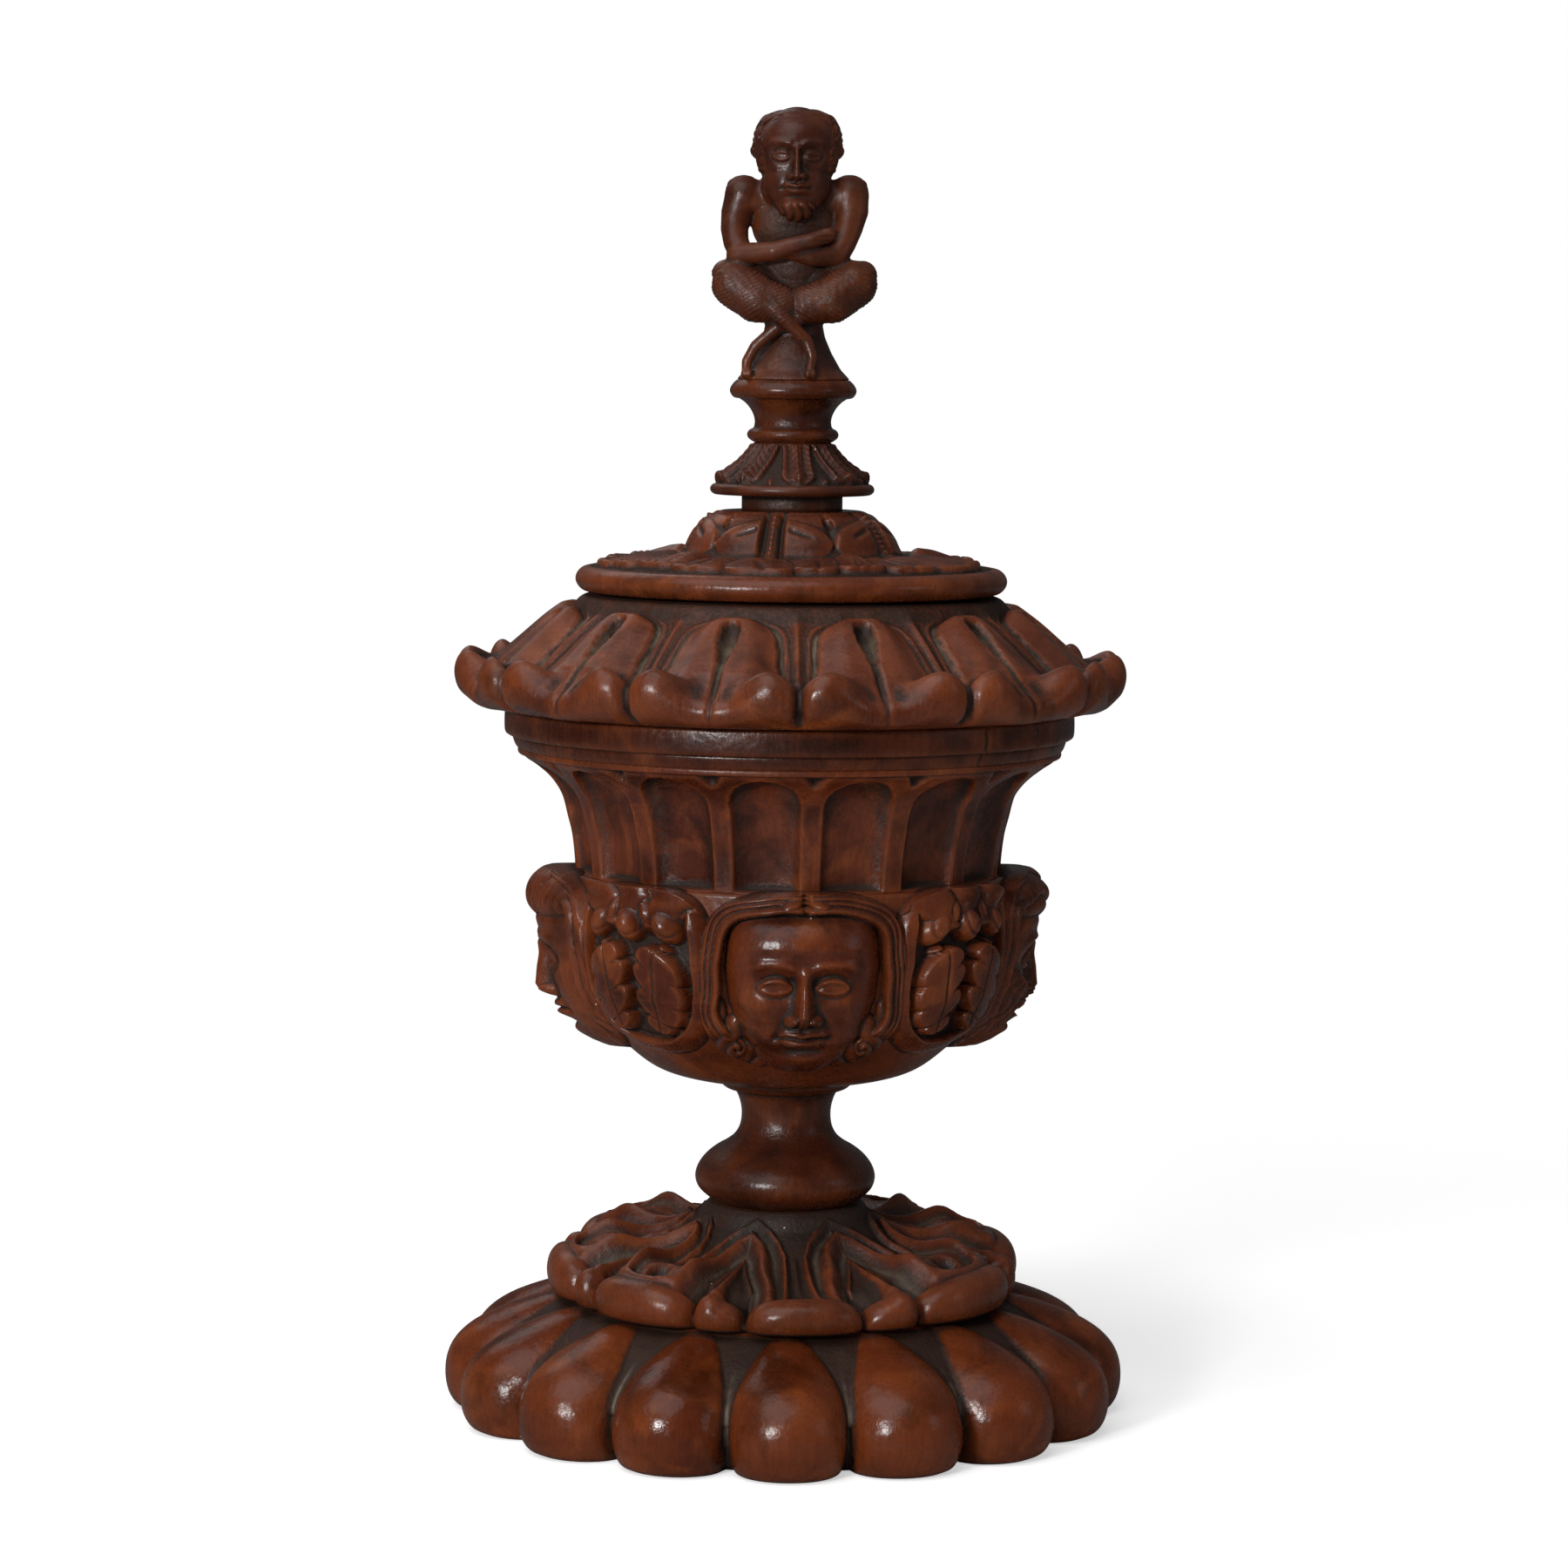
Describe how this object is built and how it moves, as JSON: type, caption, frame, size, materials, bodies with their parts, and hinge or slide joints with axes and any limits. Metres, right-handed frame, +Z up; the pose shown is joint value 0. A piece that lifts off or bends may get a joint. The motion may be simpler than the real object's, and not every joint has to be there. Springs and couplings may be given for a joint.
{
  "type": "carved wooden urn with lid",
  "caption": "Carved wooden urn on a lobed foot, with applied masks and leaf cartouches, a fluted body and a lift-off lid topped by a seated figure.",
  "frame": {"origin": "middle of the flat ring under the plinth, on the table", "axes": "+Z up along the turning axis, -Y towards the front mask, +X to the right of the front"},
  "size_m": [0.1732, 0.1732, 0.3301],
  "materials": {
    "polished_wood": "old waxed polish, satin",
    "carved_wood": "carved, waxed, dark in the hollows",
    "body_wood": "old waxed polish, satin"
  },
  "bodies": {
    "urn": {"plinth": "polished_wood", "rosette": "carved_wood", "stem": "polished_wood", "bowl": "body_wood", "fluted_body": "body_wood", "rim_ring": "polished_wood", "mask_front": "carved_wood", "mask_right": "carved_wood", "mask_back": "carved_wood", "mask_left": "carved_wood", "cartouche_front_right": "carved_wood", "cartouche_back_right": "carved_wood", "cartouche_back_left": "carved_wood", "cartouche_front_left": "carved_wood"},
    "lid": {"lid_skirt": "body_wood", "lid_crown": "carved_wood", "finial_collar": "carved_wood", "finial_baluster": "polished_wood", "figure": "carved_wood"}
  },
  "joints": [
    {"name": "lid_lift", "type": "slide", "parent": "urn", "child": "lid", "axis": [0, 0, 1], "range_m": [0, 0.15]}
  ]
}
